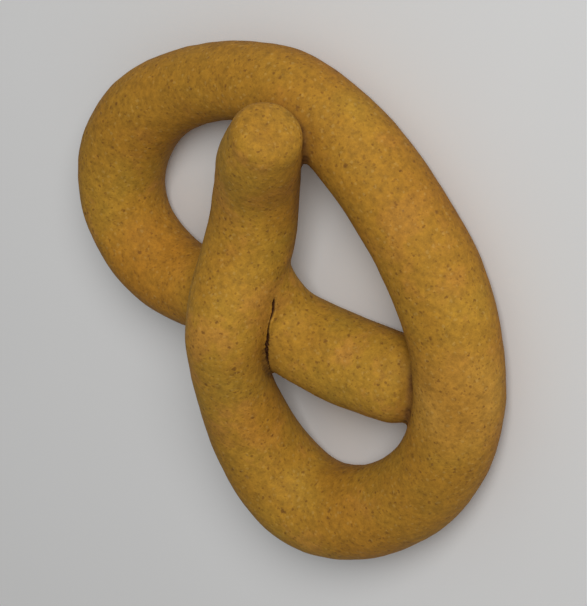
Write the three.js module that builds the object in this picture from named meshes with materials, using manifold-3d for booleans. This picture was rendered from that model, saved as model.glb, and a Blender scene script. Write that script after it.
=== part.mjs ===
// Baked pretzel: one rope of dough, laid in a pretzel knot and baked into a single piece.
// Millimetres, +Z up. It lies flat, with its long arc towards -Y and its two lobes towards +Y.
// The origin is at the centre of its outline, on the surface that it rests on.
import * as THREE from 'three';
import { mergeVertices } from 'three/addons/utils/BufferGeometryUtils.js';
import Module from 'manifold-3d';

// The guide points of the rope, from the end on top of the arc to the end tucked inside the arc.
// x and y place the middle of the rope, lift is how far it is held up off the tray, and girth is
// its radius, which is as uneven as hand-rolled dough.
const GUIDE_POINTS = [
  { x: 21.5, y: -23.1, lift: 14.0, girth: 5.7 },  // upper end, lying on the arc and turned up
  { x: 20.3, y: -18.9, lift: 11.8, girth: 6.6 },  // its neck
  { x: 16.8, y: -10.8, lift: 7.4, girth: 6.5 },   // upper strand, sagging into the middle opening
  { x: 9.1, y: -0.6, lift: 6.0, girth: 7.3 },
  { x: 1.1, y: 5.7, lift: 14.6, girth: 6.4 },     // upper strand, on top of the crossing
  { x: -5.5, y: 15.4, lift: 10.2, girth: 5.8 },   // coming down from the crossing
  { x: -21.8, y: 27.5, lift: 0.6, girth: 8.1 },   // left lobe
  { x: -35.0, y: 22.0, lift: 0, girth: 8.0 },
  { x: -38.3, y: -3.0, lift: 0, girth: 6.8 },     // left side
  { x: -22.0, y: -24.7, lift: 0, girth: 7.4 },    // long arc
  { x: 4.5, y: -28.7, lift: 0, girth: 7.3 },
  { x: 27.8, y: -22.7, lift: 0, girth: 6.7 },
  { x: 36.8, y: -2.5, lift: 0, girth: 5.8 },      // right side
  { x: 37.8, y: 13.8, lift: 0, girth: 7.4 },      // right lobe
  { x: 27.7, y: 27.8, lift: 0, girth: 7.0 },
  { x: 11.8, y: 25.9, lift: 0, girth: 6.9 },
  { x: 3.9, y: 9.0, lift: 5.0, girth: 6.0 },      // lower strand, pressed up at the crossing
  { x: -9.0, y: 3.3, lift: 1.0, girth: 7.4 },
  { x: -18.4, y: -6.6, lift: 0, girth: 7.1 },     // lower end, pressed against the arc's inner side
];
const ARC_MIDDLE = 10;           // guide point in the long arc where the two halves of the rope meet

const RESTING_HEIGHT = 0.93;     // height of the middle of a resting rope, in radii: the rest is baked flat
const UPPER_END = { length: 0.80, bluntness: 2.7 };   // rounded end: length in radii, and how square it is
const LOWER_END = { length: 0.88, bluntness: 2.7 };

// Dough pressed up beside the upper strand, which fills the corner where it crosses the lower one.
const WEB = { middle: [0, 1.3, 9.9], direction: [-0.57, 0.8, -0.17], halfLengths: [6.4, 4.0, 4.4] };

const SECTION_SIDES = 26;        // sides of the rope's section, with one flat side downwards
const RING_SPACING = 2.7;        // distance between sections along the rope
const END_RINGS = 7;             // sections in a rounded end
const STEPS_PER_SPAN = 48;       // fine steps between guide points when the line is measured
const WEB_SEGMENTS = [20, 14];   // round the web and from end to end of it
const SAME_CORNER = 1e-4;        // corners of a shape that are closer than this are one

const CRUST = { color: '#a87f36', roughness: 0.8, metalness: 0 };

// A smooth line that starts at the first guide point, ends at the last and is drawn past the others.
function easedValue(before, here, next, after, t) {
  const s = 1 - t;
  return (s ** 3 * before + (3 * t ** 3 - 6 * t ** 2 + 4) * here
    + (3 * s ** 3 - 6 * s ** 2 + 4) * next + t ** 3 * after) / 6;
}

function easedTrack(values) {
  const last = values.length - 1;
  const padded = [2 * values[0] - values[1], ...values, 2 * values[last] - values[last - 1]];
  const track = [];
  for (let step = 0; step <= last * STEPS_PER_SPAN; step++) {
    const span = Math.min(Math.floor(step / STEPS_PER_SPAN), last - 1);
    const t = step / STEPS_PER_SPAN - span;
    track.push(easedValue(padded[span], padded[span + 1], padded[span + 2], padded[span + 3], t));
  }
  return track;
}

// The measured line of the rope: its middle and its radius at every fine step, and the way along it.
const girths = easedTrack(GUIDE_POINTS.map((point) => point.girth));
const lifts = easedTrack(GUIDE_POINTS.map((point) => point.lift));
const eastings = easedTrack(GUIDE_POINTS.map((point) => point.x));
const northings = easedTrack(GUIDE_POINTS.map((point) => point.y));
const middles = girths.map((girth, i) => (
  new THREE.Vector3(eastings[i], northings[i], RESTING_HEIGHT * girth + lifts[i])));
const distances = [0];
for (let i = 1; i < middles.length; i++) {
  distances.push(distances[i - 1] + middles[i].distanceTo(middles[i - 1]));
}
const ropeLength = distances[distances.length - 1];
const arcMiddle = distances[ARC_MIDDLE * STEPS_PER_SPAN];

// Where the rope is at a distance along it. Past its ends it runs straight on.
function ropeAt(along) {
  const held = THREE.MathUtils.clamp(along, 0, ropeLength);
  let i = distances.findIndex((distance) => distance >= held);
  i = Math.max(i, 1);
  const share = (held - distances[i - 1]) / (distances[i] - distances[i - 1]);
  const direction = middles[i].clone().sub(middles[i - 1]).normalize();
  const middle = middles[i - 1].clone().lerp(middles[i], share);
  middle.addScaledVector(direction, along - held);
  return { middle, direction, girth: THREE.MathUtils.lerp(girths[i - 1], girths[i], share) };
}

// Rings of one rounded end, as [distance past the end of the line, radius], from the tip inwards.
function roundedEnd(girth, shape) {
  const rings = [];
  for (let ring = 0; ring < END_RINGS; ring++) {
    const turn = (ring / END_RINGS) * Math.PI / 2;
    const out = Math.cos(turn) ** (2 / shape.bluntness);
    const radius = Math.sin(turn) ** (2 / shape.bluntness);
    rings.push([out * shape.length * girth, radius * girth]);
  }
  return rings;
}

// A straight length of the rope standing on the Y axis, with its radius and its rounded end.
function straightLength(from, to) {
  const outline = [];
  if (from === 0) {
    for (const [out, radius] of roundedEnd(girths[0], UPPER_END)) {
      outline.push(new THREE.Vector2(radius, -out));
    }
  } else {
    outline.push(new THREE.Vector2(0, from));
  }
  const rings = Math.round((to - from) / RING_SPACING);
  for (let ring = 0; ring <= rings; ring++) {
    const along = from + (to - from) * ring / rings;
    outline.push(new THREE.Vector2(ropeAt(along).girth, along));
  }
  if (to === ropeLength) {
    for (const [out, radius] of roundedEnd(girths[girths.length - 1], LOWER_END).reverse()) {
      outline.push(new THREE.Vector2(radius, ropeLength + out));
    }
  } else {
    outline.push(new THREE.Vector2(0, to));
  }
  return new THREE.LatheGeometry(outline, SECTION_SIDES, Math.PI / SECTION_SIDES);
}

// Lays a straight length along the line and bakes its underside flat on the tray.
function layAlongLine(geometry) {
  const position = geometry.getAttribute('position');
  const vertical = new THREE.Vector3(0, 0, 1);
  for (let i = 0; i < position.count; i++) {
    const { middle, direction } = ropeAt(position.getY(i));
    const side = new THREE.Vector3().crossVectors(direction, vertical).normalize();
    const up = new THREE.Vector3().crossVectors(side, direction);
    const place = middle.clone();
    place.addScaledVector(side, position.getX(i));
    place.addScaledVector(up, position.getZ(i));
    position.setXYZ(i, place.x, place.y, Math.max(place.z, 0));
  }
  return geometry;
}

// The web is a ball, stretched along its direction.
function webGeometry() {
  const along = new THREE.Vector3(...WEB.direction).normalize();
  const across = new THREE.Vector3(0, 0, 1).cross(along).normalize();
  const upwards = new THREE.Vector3().crossVectors(along, across);
  const place = new THREE.Matrix4().makeBasis(along, across, upwards);
  place.scale(new THREE.Vector3(...WEB.halfLengths));
  place.setPosition(...WEB.middle);
  return new THREE.SphereGeometry(1, ...WEB_SEGMENTS).applyMatrix4(place);
}

// Turns a round shape into a closed solid: shared corners are merged and the triangles that
// shrink to nothing at its tip are dropped.
function closedSolid(wasm, geometry) {
  geometry.deleteAttribute('normal');
  geometry.deleteAttribute('uv');
  const merged = mergeVertices(geometry, SAME_CORNER);
  const index = merged.getIndex();
  const corners = [];
  for (let i = 0; i < index.count; i += 3) {
    const [a, b, c] = [index.getX(i), index.getX(i + 1), index.getX(i + 2)];
    if (a !== b && b !== c && c !== a) corners.push(a, b, c);
  }
  return new wasm.Manifold(new wasm.Mesh({
    numProp: 3,
    vertProperties: new Float32Array(merged.getAttribute('position').array),
    triVerts: new Uint32Array(corners),
  }));
}

// The rope crosses itself, so each half is made by itself and the two are joined with the web
// into one solid.
async function pretzelGeometry() {
  const wasm = await Module();
  wasm.setup();
  const firstHalf = closedSolid(wasm, layAlongLine(straightLength(0, arcMiddle)));
  const secondHalf = closedSolid(wasm, layAlongLine(straightLength(arcMiddle, ropeLength)));
  const web = closedSolid(wasm, webGeometry());
  const joined = firstHalf.add(secondHalf).add(web).getMesh();
  const geometry = new THREE.BufferGeometry();
  geometry.setAttribute('position', new THREE.BufferAttribute(joined.vertProperties, 3));
  geometry.setIndex(new THREE.BufferAttribute(joined.triVerts, 1));
  geometry.computeBoundingBox();
  const centre = geometry.boundingBox.getCenter(new THREE.Vector3());
  geometry.translate(-centre.x, -centre.y, -geometry.boundingBox.min.z);
  geometry.computeVertexNormals();
  return geometry;
}

const pretzel = new THREE.Mesh(await pretzelGeometry(), new THREE.MeshStandardMaterial(CRUST));
pretzel.name = 'pretzel';

const group = new THREE.Group();
group.add(pretzel);

export default group;
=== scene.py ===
import math

import bmesh
import bpy
import numpy as np
from mathutils import Matrix, Vector, noise
from mathutils.bvhtree import BVHTree
from mathutils.kdtree import KDTree


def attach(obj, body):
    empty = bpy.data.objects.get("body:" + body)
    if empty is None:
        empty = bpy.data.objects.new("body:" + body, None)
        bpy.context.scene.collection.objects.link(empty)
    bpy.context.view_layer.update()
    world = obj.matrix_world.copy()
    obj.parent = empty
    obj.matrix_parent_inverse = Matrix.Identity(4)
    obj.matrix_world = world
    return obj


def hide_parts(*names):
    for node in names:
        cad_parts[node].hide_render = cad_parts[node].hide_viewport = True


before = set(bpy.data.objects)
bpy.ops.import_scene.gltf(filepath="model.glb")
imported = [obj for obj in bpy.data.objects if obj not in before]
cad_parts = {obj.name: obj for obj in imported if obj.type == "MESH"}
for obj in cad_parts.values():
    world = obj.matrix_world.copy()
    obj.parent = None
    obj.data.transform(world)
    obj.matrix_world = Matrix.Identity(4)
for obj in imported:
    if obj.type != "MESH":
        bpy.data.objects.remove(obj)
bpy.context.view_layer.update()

MM = 0.001                       # the scene is in metres

# The rope of dough, in millimetres: (x, y, lift off the tray, radius) at each guide point, from the
# end that lies on top of the long arc to the end that is tucked inside it.
GUIDE_POINTS = [
    (21.5, -23.1, 14.0, 5.7),    # upper end, lying on the arc and turned up
    (20.3, -18.9, 11.8, 6.6),    # its neck
    (16.8, -10.8, 7.4, 6.5),     # upper strand, sagging over the middle opening
    (9.1, -0.6, 6.0, 7.3),
    (1.1, 5.7, 14.6, 6.4),       # upper strand, on top of the crossing
    (-5.5, 15.4, 10.2, 5.8),     # coming down from the crossing
    (-21.8, 27.5, 0.6, 8.1),     # left lobe
    (-35.0, 22.0, 0.0, 8.0),
    (-38.3, -3.0, 0.0, 6.8),     # left side
    (-22.0, -24.7, 0.0, 7.4),    # long arc
    (4.5, -28.7, 0.0, 7.3),
    (27.8, -22.7, 0.0, 6.7),
    (36.8, -2.5, 0.0, 5.8),      # right side
    (37.8, 13.8, 0.0, 7.4),      # right lobe
    (27.7, 27.8, 0.0, 7.0),
    (11.8, 25.9, 0.0, 6.9),
    (3.9, 9.0, 5.0, 6.0),        # lower strand, pressed up where it passes under the crossing
    (-9.0, 3.3, 1.0, 7.4),
    (-18.4, -6.6, 0.0, 7.1),     # lower end, pressed against the arc's inner side
]
RESTING_HEIGHT = 0.93            # height of the middle of a resting rope, in radii
UPPER_END = (0.80, 2.7)          # rounded end: length in radii, and how square it is
LOWER_END = (0.88, 2.7)
WEB_MIDDLE = (0.0, 1.3, 9.9)     # dough pressed up beside the upper strand, in the corner of the crossing
WEB_DIRECTION = (-0.57, 0.80, -0.17)
WEB_RADII = (6.4, 4.0, 4.4)

SECTION_SIDES = 56               # sides of the rope's section
RING_SPACING = 1.3               # distance between rings along the rope
END_RINGS = 12                   # rings in a rounded end
TIP_TURN = 0.12                  # the first ring of an end is as small as this part of a ring step
STEPS_PER_SPAN = 48              # fine steps between guide points when the line is measured
WEB_SUBDIVISIONS = 4             # of the ball that is pressed into the corner
GRAIN = 0.45                     # spacing of the finished surface's points
SKIN_PASSES = 3                  # smoothing of the whole skin
SMOOTHING = 0.5                  # how far one pass takes a point towards the middle of its neighbours

# From here on places are measured from the middle of the pretzel's outline.
MELTED_CORNERS = [               # where strands have grown together: middle, then reaches and passes
    ((-0.5, -0.5, 12.0), [(8.0, 16), (7.0, 24), (6.0, 32), (5.0, 32)]),    # web and upper strand
    ((-0.3, -1.3, 7.2), [(5.5, 20), (4.5, 24), (3.5, 24)])]                # web and lower strand
CRACK = [                        # the part of the seam that stayed open
    (1.0, -2.1, 15.3), (0.3, -1.3, 15.2), (-0.5, -0.5, 15.2), (-1.3, 0.3, 15.5), (-1.8, 1.0, 15.8),
    (-2.5, 1.8, 15.9), (-3.6, 3.4, 15.8), (-4.8, 5.0, 15.5), (-6.0, 6.1, 15.2), (-7.3, 7.4, 14.8),
    (-8.4, 9.0, 13.6)]
CRACK_STEPS = 8                  # steps between two of its points, when it is laid on the skin
CRACK_WIDTHS = [                 # its width at shares of its length
    (0.0, 0.20), (0.04, 0.85), (0.32, 0.80), (0.38, 0.55), (0.60, 0.65), (0.80, 0.40), (1.0, 0.25)]
CRACK_DEPTH = 1.1
CRACK_FULLNESS = 1.3             # above 1, so the bottom of the crack is flat
CRACK_MARGIN = 1.3               # the skin is made finer as far as this from the crack
CRACK_CUTS = 3                   # by cutting its edges in so many places
CRACK_WANDER = 0.12              # how far the crack's edges stray
CRACK_WANDER_RATE = 0.9          # how quickly they do, in turns to a millimetre
CRACK_SEED = 3                   # of the pattern that they follow

SWELLS = [                       # unevenness of the dough: (size, height, where its pattern starts)
    (15.0, 0.26, (3.1, 7.7, 1.9)),
    (6.0, 0.12, (8.4, 2.2, 5.3)),
    (2.4, 0.05, (1.2, 9.6, 4.8))]
SWELL_MEAN = -0.10               # it takes off a little more than it adds

CREASE_PASSES = 4                # how far a crease's painted shade spreads over the skin
CREASE_FROM = 0.022              # hollowness, in point spacings, at which a crease starts
CREASE_RANGE = 0.08              # and how much more makes it fully dark
SHADE_RAYS = 8                   # directions in which a point looks for other dough
SHADE_LEAN = 52                  # how far they lean over, in degrees
SHADE_START = 0.3                # how far off the skin the look starts
SHADE_REACH = 7.0                # and how far it goes
SHADE_PASSES = 3                 # evening out of what is found

CAP_RING = (3.7, 0.5, 0.10)      # faint groove on the upper end's face: radius, width and depth
CAP_RING_PATCHES = (0.6, 3.0)    # it comes and goes: its usual strength, and the size of the patches
CAP_DIMPLE = ((22.4, -26.6, 20.6), 1.3, 0.30)    # middle, radius and depth
DARKER_END = (6.0, 12.0)         # the upper end is marked up to the first distance, and fades by the second


# ---------------------------------------------------------------- the line of the rope

def eased_value(before, here, following, after, t):
    """One value on a smooth line, a share t of the way from one guide point to the next."""
    s = 1 - t
    return (s ** 3 * before + (3 * t ** 3 - 6 * t ** 2 + 4) * here
            + (3 * s ** 3 - 6 * s ** 2 + 4) * following + t ** 3 * after) / 6


def eased_track(values):
    """A smooth line through a list of values, which starts at the first and ends at the last."""
    padded = [2 * values[0] - values[1], *values, 2 * values[-1] - values[-2]]
    track = []
    for step in range((len(values) - 1) * STEPS_PER_SPAN + 1):
        span = min(step // STEPS_PER_SPAN, len(values) - 2)
        track.append(eased_value(*padded[span:span + 4], step / STEPS_PER_SPAN - span))
    return track


class RopeLine:
    """The measured line of the rope: its middle and radius at any distance along it."""

    def __init__(self):
        eastings, northings, lifts, self.girths = (eased_track(values) for values in zip(*GUIDE_POINTS))
        self.middles = [Vector((x, y, RESTING_HEIGHT * girth + lift))
                        for x, y, lift, girth in zip(eastings, northings, lifts, self.girths)]
        self.distances = [0.0]
        for here, following in zip(self.middles, self.middles[1:]):
            self.distances.append(self.distances[-1] + (following - here).length)
        self.length = self.distances[-1]

    def at(self, along):
        """Middle, direction and radius of the rope. Past its ends it runs straight on."""
        held = min(max(along, 0.0), self.length)
        low, high = 0, len(self.distances) - 1
        while high - low > 1:
            halfway = (low + high) // 2
            if self.distances[halfway] < held:
                low = halfway
            else:
                high = halfway
        share = (held - self.distances[low]) / (self.distances[high] - self.distances[low])
        direction = (self.middles[high] - self.middles[low]).normalized()
        middle = self.middles[low].lerp(self.middles[high], share) + direction * (along - held)
        return middle, direction, self.girths[low] * (1 - share) + self.girths[high] * share

    def move(self, offset):
        self.middles = [middle + offset for middle in self.middles]


def rounded_end(girth, length, bluntness):
    """Rings of a rounded end, as (distance past the end of the line, radius), from the tip inwards."""
    rings = []
    for ring in range(END_RINGS):
        turn = max(ring, TIP_TURN) / END_RINGS * math.pi / 2
        out = math.cos(turn) ** (2 / bluntness)
        radius = math.sin(turn) ** (2 / bluntness)
        rings.append((out * length * girth, radius * girth))
    return rings


# ---------------------------------------------------------------- modelling the dough

def seat(middle, direction, radius):
    """The place of a ring of the rope: a circle of radius 1, laid square across the line."""
    side = direction.cross(Vector((0, 0, 1))).normalized()
    up = side.cross(direction)
    return Matrix((
        (side.x * radius, up.x * radius, direction.x, middle.x),
        (side.y * radius, up.y * radius, direction.y, middle.y),
        (side.z * radius, up.z * radius, direction.z, middle.z),
        (0, 0, 0, 1)))


def lay_rope(dough, line):
    """The rope in one length: a ring is extruded along the line, and both tips are closed."""
    stations = [(-out, radius) for out, radius in rounded_end(line.girths[0], *UPPER_END)]
    rings = round(line.length / RING_SPACING)
    for ring in range(rings + 1):
        along = line.length * ring / rings
        stations.append((along, line.at(along)[2]))
    for out, radius in reversed(rounded_end(line.girths[-1], *LOWER_END)):
        stations.append((line.length + out, radius))
    bmesh.ops.create_circle(dough, cap_ends=True, segments=SECTION_SIDES, radius=1.0)
    points = list(dough.verts)
    edges = list(dough.edges)
    placed = Matrix.Identity(4)
    for number, (along, radius) in enumerate(stations):
        if number > 0:
            grown = bmesh.ops.extrude_edge_only(dough, edges=edges)["geom"]
            points = [item for item in grown if isinstance(item, bmesh.types.BMVert)]
            edges = [item for item in grown if isinstance(item, bmesh.types.BMEdge)]
        middle, direction, _ = line.at(along)
        place = seat(middle, direction, radius)
        bmesh.ops.transform(dough, matrix=place @ placed.inverted(), verts=points)
        placed = place
    bmesh.ops.contextual_create(dough, geom=edges)
    keep_off_tray(dough)


def keep_off_tray(dough):
    """Bakes the underside flat on the tray."""
    for point in dough.verts:
        point.co.z = max(point.co.z, 0.0)


def press_up_web(dough):
    """The lump of dough beside the upper strand: a ball, stretched along its direction."""
    turn = Vector(WEB_DIRECTION).to_track_quat("X", "Z").to_matrix().to_4x4()
    place = Matrix.Translation(Vector(WEB_MIDDLE)) @ turn @ Matrix.Diagonal((*WEB_RADII, 1.0))
    bmesh.ops.create_icosphere(dough, subdivisions=WEB_SUBDIVISIONS, radius=1.0, matrix=place)


def centred(dough, line):
    """Moves the dough and its line so that the middle of the outline is the origin."""
    lowest = Vector([min(point.co[axis] for point in dough.verts) for axis in range(3)])
    highest = Vector([max(point.co[axis] for point in dough.verts) for axis in range(3)])
    middle = (lowest + highest) / 2
    offset = Vector((-middle.x, -middle.y, -lowest.z))
    bmesh.ops.translate(dough, vec=offset, verts=dough.verts)
    line.move(offset)


def grown_together(dough):
    """The strands joined into one skin of even points, as baking joins them."""
    bmesh.ops.recalc_face_normals(dough, faces=dough.faces)
    mesh = bpy.data.meshes.new("dough")
    dough.to_mesh(mesh)
    dough.free()
    body = bpy.data.objects.new("dough", mesh)
    bpy.context.scene.collection.objects.link(body)
    joint = body.modifiers.new("one skin", "REMESH")
    joint.mode = "VOXEL"
    joint.voxel_size = GRAIN
    evaluated = body.evaluated_get(bpy.context.evaluated_depsgraph_get())
    skin = bmesh.new()
    skin.from_mesh(evaluated.to_mesh())
    evaluated.to_mesh_clear()
    bpy.data.objects.remove(body)
    bpy.data.meshes.remove(mesh)
    return skin


def smooth(skin, points, passes):
    for _ in range(passes):
        bmesh.ops.smooth_vert(skin, verts=points, factor=SMOOTHING,
                              use_axis_x=True, use_axis_y=True, use_axis_z=True)


def melt(skin):
    """Smooths the corners of the crossing, most at their middle, as dough grows together in baking."""
    for place, rounds in MELTED_CORNERS:
        middle = Vector(place)
        for reach, passes in rounds:
            smooth(skin, [point for point in skin.verts if (point.co - middle).length < reach], passes)


def swell(skin):
    """Makes the surface as uneven as hand-rolled dough."""
    skin.normal_update()
    for point in skin.verts:
        height = SWELL_MEAN
        for size, amount, start in SWELLS:
            height += amount * noise.noise(point.co / size + Vector(start))
        point.co += point.normal * height


def press_cap(skin, line):
    """Presses the faint ring and the dimple into the face of the upper end."""
    middle, direction, girth = line.at(0.0)
    ring_radius, ring_width, ring_depth = CAP_RING
    usual, patch_size = CAP_RING_PATCHES
    dimple, dimple_radius, dimple_depth = CAP_DIMPLE
    skin.normal_update()
    for point in skin.verts:
        reach = point.co - middle
        outward = -reach.dot(direction)
        if outward < 0 or reach.length > 2 * girth:
            continue
        off_axis = (reach + direction * outward).length
        strength = max(usual + noise.noise(point.co / patch_size), 0.0)
        ring = strength * math.exp(-((off_axis - ring_radius) / ring_width) ** 2)
        hollow = math.exp(-((point.co - Vector(dimple)).length / dimple_radius) ** 2)
        point.co -= point.normal * (ring_depth * ring + dimple_depth * hollow)


def crack_path(skin):
    """The crack's line laid on the skin, as a search tree of closely spaced points."""
    surface = BVHTree.FromBMesh(skin)
    spans = len(CRACK) - 1
    steps = spans * CRACK_STEPS
    path = KDTree(steps + 1)
    for step in range(steps + 1):
        span = min(step // CRACK_STEPS, spans - 1)
        between = Vector(CRACK[span]).lerp(Vector(CRACK[span + 1]), step / CRACK_STEPS - span)
        path.insert(surface.find_nearest(between)[0], step)
    path.balance()
    return path, steps


def open_crack(skin, torn):
    """Cuts the crack into the skin, with finer points along it, and marks how deep it is torn."""
    path, steps = crack_path(skin)
    near = {point for point in skin.verts if path.find(point.co)[2] < CRACK_MARGIN}
    edges = [edge for edge in skin.edges if edge.verts[0] in near and edge.verts[1] in near]
    bmesh.ops.subdivide_edges(skin, edges=edges, cuts=CRACK_CUTS, use_grid_fill=True)
    skin.normal_update()
    noise.seed_set(CRACK_SEED)
    cuts = []
    for point in skin.verts:
        stray = noise.noise_vector(point.co * CRACK_WANDER_RATE) * CRACK_WANDER
        _, step, distance = path.find(point.co + stray)
        half_width = np.interp(step / steps, *zip(*CRACK_WIDTHS)) / 2
        if distance < half_width:
            torn_here = min(CRACK_FULLNESS * (1 - (distance / half_width) ** 2), 1.0)
            cuts.append((point, torn_here))
    for point, torn_here in cuts:
        point[torn] = torn_here
        point.co -= point.normal * CRACK_DEPTH * torn_here


def evened(values, skin, passes):
    """Values at the points of the skin, evened out with their neighbours' this many times."""
    count = len(values)
    first, second = np.array([[point.index for point in edge.verts] for edge in skin.edges]).T
    shares = 1 + np.bincount(first, minlength=count) + np.bincount(second, minlength=count)
    for _ in range(passes):
        values = (values + np.bincount(first, values[second], count)
                  + np.bincount(second, values[first], count)) / shares
    return values


def mark_shade(skin, shade):
    """Marks, from 0 to 1, how much of the space in front of each point other dough fills, for painted
    shade.
    """
    surface = BVHTree.FromBMesh(skin)
    skin.normal_update()
    skin.verts.index_update()
    lean = math.radians(SHADE_LEAN)
    filled = []
    for point in skin.verts:
        across = point.normal.orthogonal().normalized()
        start = point.co + point.normal * SHADE_START
        blocked = 0.0
        for number in range(SHADE_RAYS):
            turn = Matrix.Rotation(2 * math.pi * number / SHADE_RAYS, 3, point.normal)
            way = point.normal * math.cos(lean) + (turn @ across) * math.sin(lean)
            distance = surface.ray_cast(start, way, SHADE_REACH)[3]
            if distance is not None:
                blocked += 1 - distance / SHADE_REACH
        filled.append(blocked / SHADE_RAYS)
    filled = evened(np.array(filled), skin, SHADE_PASSES)
    for point in skin.verts:
        point[shade] = min(filled[point.index], 1.0)


def mark_creases(skin, crease_shade):
    """Marks, from 0 to 1, the sharp creases where strands touch, which get painted shade."""
    skin.normal_update()
    skin.verts.index_update()
    depths = []
    for point in skin.verts:
        neighbours = [edge.other_vert(point).co for edge in point.link_edges]
        middle = sum(neighbours, Vector()) / len(neighbours)
        spacing = sum((other - point.co).length for other in neighbours) / len(neighbours)
        depths.append((middle - point.co).dot(point.normal) / spacing)
    depths = evened(np.array(depths), skin, CREASE_PASSES)
    for point in skin.verts:
        point[crease_shade] = np.clip((depths[point.index] - CREASE_FROM) / CREASE_RANGE, 0.0, 1.0)


def mark_upper_end(skin, line, upper_end):
    """Marks, from 0 to 1, the skin of the upper end."""
    full, gone = DARKER_END
    stations = KDTree(len(line.middles))
    for number, middle in enumerate(line.middles):
        stations.insert(middle, number)
    stations.balance()
    for point in skin.verts:
        along = line.distances[stations.find(point.co)[1]]
        point[upper_end] = min(max((gone - along) / (gone - full), 0.0), 1.0)


def pretzel():
    """The baked pretzel, which stands in for the plain solid."""
    line = RopeLine()
    dough = bmesh.new()
    lay_rope(dough, line)
    press_up_web(dough)
    centred(dough, line)
    skin = grown_together(dough)
    torn = skin.verts.layers.float.new("torn")
    crease_shade = skin.verts.layers.float.new("crease_shade")
    shade = skin.verts.layers.float.new("shade")
    upper_end = skin.verts.layers.float.new("upper_end")
    smooth(skin, skin.verts, SKIN_PASSES)
    melt(skin)
    mark_creases(skin, crease_shade)
    mark_shade(skin, shade)
    swell(skin)
    press_cap(skin, line)
    open_crack(skin, torn)
    keep_off_tray(skin)
    mark_upper_end(skin, line, upper_end)
    bmesh.ops.scale(skin, vec=(MM, MM, MM), verts=skin.verts)
    for face in skin.faces:
        face.smooth = True
    mesh = bpy.data.meshes.new("pretzel_crust")
    skin.to_mesh(mesh)
    skin.free()
    piece = bpy.data.objects.new("pretzel_crust", mesh)
    bpy.context.scene.collection.objects.link(piece)
    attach(piece, "root")
    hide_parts("pretzel")
    return piece


# ---------------------------------------------------------------- materials

class Signal:
    """A node's output. Plain arithmetic with it adds Math nodes to its material."""

    def __init__(self, recipe, socket):
        self.recipe = recipe
        self.socket = socket

    def math(self, operation, first, second=0.0):
        return self.recipe.node("ShaderNodeMath", {"operation": operation}, {0: first, 1: second})

    def __add__(self, other):
        return self.math("ADD", self, other)

    def __radd__(self, other):
        return self.math("ADD", other, self)

    def __sub__(self, other):
        return self.math("SUBTRACT", self, other)

    def __rsub__(self, other):
        return self.math("SUBTRACT", other, self)

    def __mul__(self, other):
        return self.math("MULTIPLY", self, other)

    def __rmul__(self, other):
        return self.math("MULTIPLY", other, self)

    def __abs__(self):
        return self.math("ABSOLUTE", self)

    def between(self, low, high):
        """Rises smoothly from 0 to 1 as the signal goes from low to high."""
        return self.recipe.node("ShaderNodeMapRange", {"interpolation_type": "SMOOTHSTEP"},
                                {"Value": self, "From Min": low, "From Max": high})


class Recipe:
    """The nodes of one material."""

    def __init__(self, name):
        self.material = bpy.data.materials.new(name)
        self.material.use_nodes = True
        self.tree = self.material.node_tree
        self.tree.nodes.clear()

    def node(self, kind, settings, inputs, output=0):
        """Adds a node, its settings first, then what goes into its sockets, and gives its output."""
        node = self.tree.nodes.new(kind)
        for name, value in settings.items():
            setattr(node, name, value)
        for name, value in inputs.items():
            if isinstance(value, Signal):
                self.tree.links.new(value.socket, node.inputs[name])
            else:
                node.inputs[name].default_value = value
        return Signal(self, node.outputs[output]) if node.outputs else None

    def shift(self, spot, offset):
        return self.node("ShaderNodeVectorMath", {"operation": "ADD"}, {0: spot, 1: offset})

    def ragged(self, spot, size, reach):
        """Places strayed by up to about reach, so that flecks get ragged edges."""
        stray = self.node("ShaderNodeTexNoise", {}, {
            "Vector": spot, "Scale": 1 / size, "Detail": 2.0}, "Color")
        both_ways = self.shift(stray, (-0.5, -0.5, -0.5))
        return self.shift(spot, self.shaded(both_ways, 4 * reach))

    def patches(self, spot, size, detail=2.0, roughness=0.5):
        """Soft random patches of about this size, with values round a half."""
        return self.node("ShaderNodeTexNoise", {}, {
            "Vector": spot, "Scale": 1 / size, "Detail": detail, "Roughness": roughness})

    def flecks(self, spot, spacing, radius, share):
        """Round flecks: one to a cell of the given spacing, in this share of the cells."""
        settings = {"feature": "F1"}
        inputs = {"Vector": spot, "Scale": 1 / spacing}
        distance = self.node("ShaderNodeTexVoronoi", settings, inputs, "Distance")
        chance = self.node("ShaderNodeSeparateColor", {}, {
            "Color": self.node("ShaderNodeTexVoronoi", settings, inputs, "Color")})
        reach = radius / spacing
        here = 1 - distance.between(FLECK_CORE * reach, reach)
        return here * (1 - chance.between(share - FLECK_FAINTNESS, share + FLECK_FAINTNESS))

    def blend(self, amount, first, second):
        """The first colour, with this amount of the second. The numbers are a Mix node's colour sockets."""
        return self.node("ShaderNodeMix", {"data_type": "RGBA"}, {0: amount, 6: first, 7: second}, 2)

    def shaded(self, colour, brightness):
        """A colour or a vector times a number."""
        return self.node("ShaderNodeVectorMath", {"operation": "SCALE"}, {0: colour, "Scale": brightness})

    def near(self, spot, places):
        """Rises to each place's strength near its middle."""
        amount = 0.0
        settings = {"operation": "DISTANCE"}
        for middle, reach, strength in places:
            away = self.node("ShaderNodeVectorMath", settings, {0: spot, 1: middle}, "Value")
            amount = strength * (1 - away.between(PLACE_CORE * reach, reach)) + amount
        return amount

    def attribute(self, name):
        return self.node("ShaderNodeAttribute", {"attribute_name": name}, {}, "Fac")

    def finish(self, **inputs):
        """The material, once its surface has these colours, values and signals."""
        surface = self.node("ShaderNodeBsdfPrincipled", {}, {
            name.replace("_", " "): value for name, value in inputs.items()}, "BSDF")
        self.node("ShaderNodeOutputMaterial", {}, {"Surface": surface})
        return self.material


FLECK_CORE = 0.45                # part of a fleck's radius in which it is full
FLECK_FAINTNESS = 0.08           # a fleck whose chance is this close to the share is faint
PLACE_CORE = 0.3                 # part of a place's reach in which it is full

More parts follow.
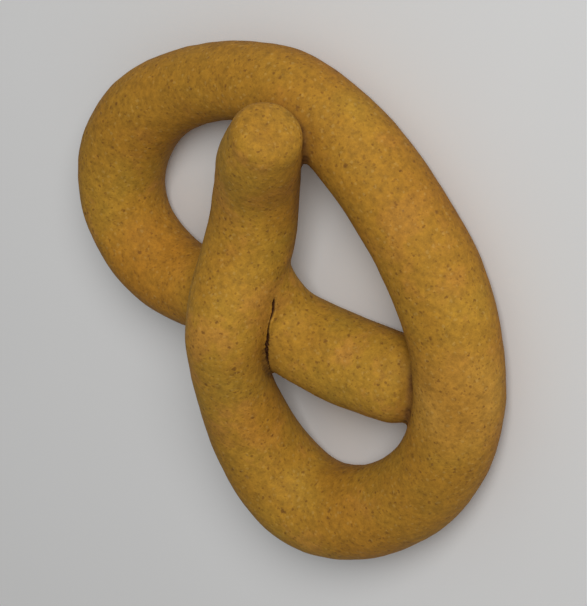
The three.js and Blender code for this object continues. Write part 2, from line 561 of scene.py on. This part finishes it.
GOLDEN = (0.400, 0.207, 0.019, 1)
OLIVE_GOLD = (0.378, 0.208, 0.020, 1)
PINKISH_TAN = (0.436, 0.207, 0.028, 1)
TOASTED_AND_SHADE_BROWN = (0.320, 0.136, 0.010, 1)
TRAY_BROWN_AND_SHADE = (0.240, 0.094, 0.007, 1)
SHADY_BROWN = (0.200, 0.075, 0.008, 1)
ORANGE_GOLD = (0.430, 0.190, 0.016, 1)
PAINTED_LIGHT_TAN = (0.490, 0.250, 0.038, 1)
BRAN = (0.120, 0.042, 0.008, 1)
FLOUR = (0.60, 0.38, 0.11, 1)
CREVICE_SHADE_BROWN = (0.075, 0.024, 0.005, 1)
BOTTOM_BROWN = (0.230, 0.098, 0.020, 1)
TABLE_GREY = (0.79, 0.79, 0.785)

ORANGE_PLACES = [                # where the crust is more orange: middle in millimetres, reach, strength
    ((16.0, 22.0, 12.0), 13.0, 0.9),
    ((11.0, -14.0, 14.0), 6.0, 0.6),
    ((-14.0, 15.0, 15.0), 7.0, 0.5),
    ((-37.0, 12.0, 12.0), 9.0, 0.6)]
PAINTED_LIGHT_PLACES = [                  # where it is painted paler: painted light on the arc's upper part
    ((-27.0, -21.0, 13.0), 12.5, 0.85)]
TOASTED_AND_SHADED_PLACES = [               # where it is browner: partly toasting, partly painted shade on the arc's outer side
    ((-4.0, -31.0, 9.0), 14.0, 0.42),
    ((11.0, -31.0, 9.0), 11.0, 0.26)]
BRAN_FLECKS = [                  # spacing, radius, share of the cells, strength, depth, and a shift
    (0.72, 0.25, 0.60, 0.36, 0.2, (0.0, 0.0, 0.0)),
    (1.3, 0.32, 0.50, 0.55, 0.3, (11.0, 6.0, 21.0)),
    (3.4, 0.50, 0.45, 0.65, 0.3, (9.0, 4.0, 15.0))]


def baked_crust():
    """Golden brown crust: uneven in hue, darker and browner near the tray, partly as painted shade, with
    bran in it; painted shade darkens its creases, crack, hollows and the arc's outer side, and painted
    light makes a paler patch on the arc.
    """
    crust = Recipe("baked crust")
    place = crust.node("ShaderNodeTexCoord", {}, {}, "Object")
    spot = crust.shaded(place, 1 / MM)
    height = crust.node("ShaderNodeSeparateXYZ", {}, {"Vector": spot}, "Z")
    across = crust.node("ShaderNodeSeparateXYZ", {}, {"Vector": spot}, "X")
    crease_shade = crust.attribute("crease_shade")
    shade = crust.attribute("shade")
    torn = crust.attribute("torn")
    upper_end = crust.attribute("upper_end")

    lobes = abs(across).between(20.0, 42.0)
    toasting = (crust.patches(spot, size=19.0) + 0.12 * lobes).between(0.42, 0.66)
    hue = crust.patches(crust.shift(spot, (31.0, 7.0, 12.0)), size=9.0, detail=4.0, roughness=0.65)
    meal = crust.patches(crust.shift(spot, (5.0, 41.0, 3.0)), size=1.1, detail=4.0, roughness=0.75)
    mottle = crust.patches(crust.shift(spot, (17.0, 3.0, 29.0)), size=3.2)
    uneven = 0.55 + 0.9 * mottle
    ragged = crust.ragged(spot, size=0.45, reach=0.16)
    near_tray = 1 - height.between(0.5, 9.0)
    underside = 1 - height.between(0.05, 0.9)

    colour = crust.blend(hue.between(0.34, 0.52), OLIVE_GOLD, GOLDEN)
    colour = crust.blend(hue.between(0.52, 0.66), colour, PINKISH_TAN)
    # painted light: a paler patch on the arc's upper part
    colour = crust.blend(crust.near(spot, PAINTED_LIGHT_PLACES) * uneven, colour, PAINTED_LIGHT_TAN)
    colour = crust.blend(crust.near(spot, ORANGE_PLACES) * uneven, colour, ORANGE_GOLD)
    colour = crust.blend(toasting * 0.55, colour, TOASTED_AND_SHADE_BROWN)
    # partly toasting, partly painted shade on the arc's outer side
    colour = crust.blend(crust.near(spot, TOASTED_AND_SHADED_PLACES), colour, TOASTED_AND_SHADE_BROWN)
    # darker towards the tray: partly the crust's own browning, partly painted shade on the lower sides
    colour = crust.blend(near_tray * 0.80, colour, TRAY_BROWN_AND_SHADE)
    colour = crust.shaded(colour, 0.26 + 1.45 * meal + 0.12 * mottle - 0.06 * upper_end)
    # painted shade: darker and browner where other dough closes in over the skin
    colour = crust.blend(shade.between(0.02, 0.50) * 0.45, colour, SHADY_BROWN)

    pale = crust.flecks(crust.shift(ragged, (2.0, 19.0, 8.0)), spacing=1.0, radius=0.34, share=0.55)
    colour = crust.blend(pale * 0.22, colour, FLOUR)
    relief = 1.2 * meal + 0.5 * mottle + 0.25 * pale
    for spacing, radius, share, strength, depth, start in BRAN_FLECKS:
        bran = crust.flecks(crust.shift(ragged, start), spacing, radius, share)
        colour = crust.blend(bran * strength, colour, BRAN)
        relief = relief - depth * bran

    colour = crust.blend(underside * (0.35 + 0.6 * mottle), colour, BOTTOM_BROWN)
    # painted shade: the creases where strands touch are darkened
    colour = crust.blend(crease_shade * 0.80, colour, CREVICE_SHADE_BROWN)
    # painted shade: the crack is darkened towards its bottom
    colour = crust.blend(torn.between(0.05, 0.45), colour, CREVICE_SHADE_BROWN)

    normal = crust.node("ShaderNodeBump", {}, {"Strength": 0.8, "Distance": 0.09 * MM, "Height": relief})
    return crust.finish(Base_Color=colour, Roughness=0.70 + 0.16 * meal, Specular_IOR_Level=0.25,
                        Normal=normal)


def pale_table():
    table = Recipe("pale table")
    place = table.node("ShaderNodeTexCoord", {}, {}, "Object")
    grain = table.patches(place, size=0.05, detail=3.0)
    colour = table.shaded(TABLE_GREY, 0.98 + 0.04 * grain)
    return table.finish(Base_Color=colour, Roughness=0.7)


# ---------------------------------------------------------------- camera, light and floor

CAMERA_ELEVATION = 43.0          # degrees above the plane that the pretzel lies in
CAMERA_ROLL = 121.5              # degrees, clockwise: the photograph's up is towards the right side
CAMERA_DISTANCE = 467.7 * MM
CAMERA_TARGET = Vector((-1.07, 3.48, 7.0)) * MM
SENSOR = 36.0                    # its height in millimetres
PICTURE_HEIGHT = 606             # pixels
LENS_PIXELS = 3000               # focal length in pixels of the picture

KEY_TOWARDS = Vector((0.14, -0.756, 0.64)).normalized()    # from the pretzel towards the light
KEY_DISTANCE = 0.9               # metres
KEY_SIZE = 0.45                  # metres across
KEY_POWER = 6.0
ROOM_BRIGHTNESS = 0.24
FLOOR_REACH = 1.5                # metres from the middle of the floor to its sides


def add_camera():
    elevation = math.radians(CAMERA_ELEVATION)
    roll = math.radians(CAMERA_ROLL)
    back = Vector((0, -math.cos(elevation), math.sin(elevation)))
    right = Vector((1, 0, 0))
    up = back.cross(right)
    picture_up = up * math.cos(roll) + right * math.sin(roll)
    picture_right = right * math.cos(roll) - up * math.sin(roll)
    data = bpy.data.cameras.new("camera")
    data.sensor_fit = "VERTICAL"
    data.sensor_height = SENSOR
    data.lens = LENS_PIXELS / PICTURE_HEIGHT * SENSOR
    camera = bpy.data.objects.new("camera", data)
    turn = Matrix((picture_right, picture_up, back)).transposed().to_4x4()
    camera.matrix_world = Matrix.Translation(CAMERA_TARGET + back * CAMERA_DISTANCE) @ turn
    bpy.context.scene.collection.objects.link(camera)
    bpy.context.scene.camera = camera


def add_light():
    data = bpy.data.lights.new("key", "AREA")
    data.shape = "DISK"
    data.size = KEY_SIZE
    data.energy = KEY_POWER
    key = bpy.data.objects.new("key", data)
    turn = KEY_TOWARDS.to_track_quat("Z", "Y").to_matrix().to_4x4()
    key.matrix_world = Matrix.Translation(CAMERA_TARGET + KEY_TOWARDS * KEY_DISTANCE) @ turn
    bpy.context.scene.collection.objects.link(key)
    room = bpy.data.worlds.new("room")
    bpy.context.scene.world = room
    room.use_nodes = True
    background = room.node_tree.nodes["Background"]
    background.inputs["Color"].default_value = (1, 1, 1, 1)
    background.inputs["Strength"].default_value = ROOM_BRIGHTNESS


def add_floor():
    grid = bmesh.new()
    bmesh.ops.create_grid(grid, x_segments=1, y_segments=1, size=FLOOR_REACH)
    mesh = bpy.data.meshes.new("floor")
    grid.to_mesh(mesh)
    grid.free()
    floor = bpy.data.objects.new("floor", mesh)
    bpy.context.scene.collection.objects.link(floor)
    mesh.materials.append(pale_table())


add_camera()
add_light()
add_floor()
baked = pretzel()
baked.data.materials.append(baked_crust())
bpy.context.scene.view_settings.view_transform = "Standard"
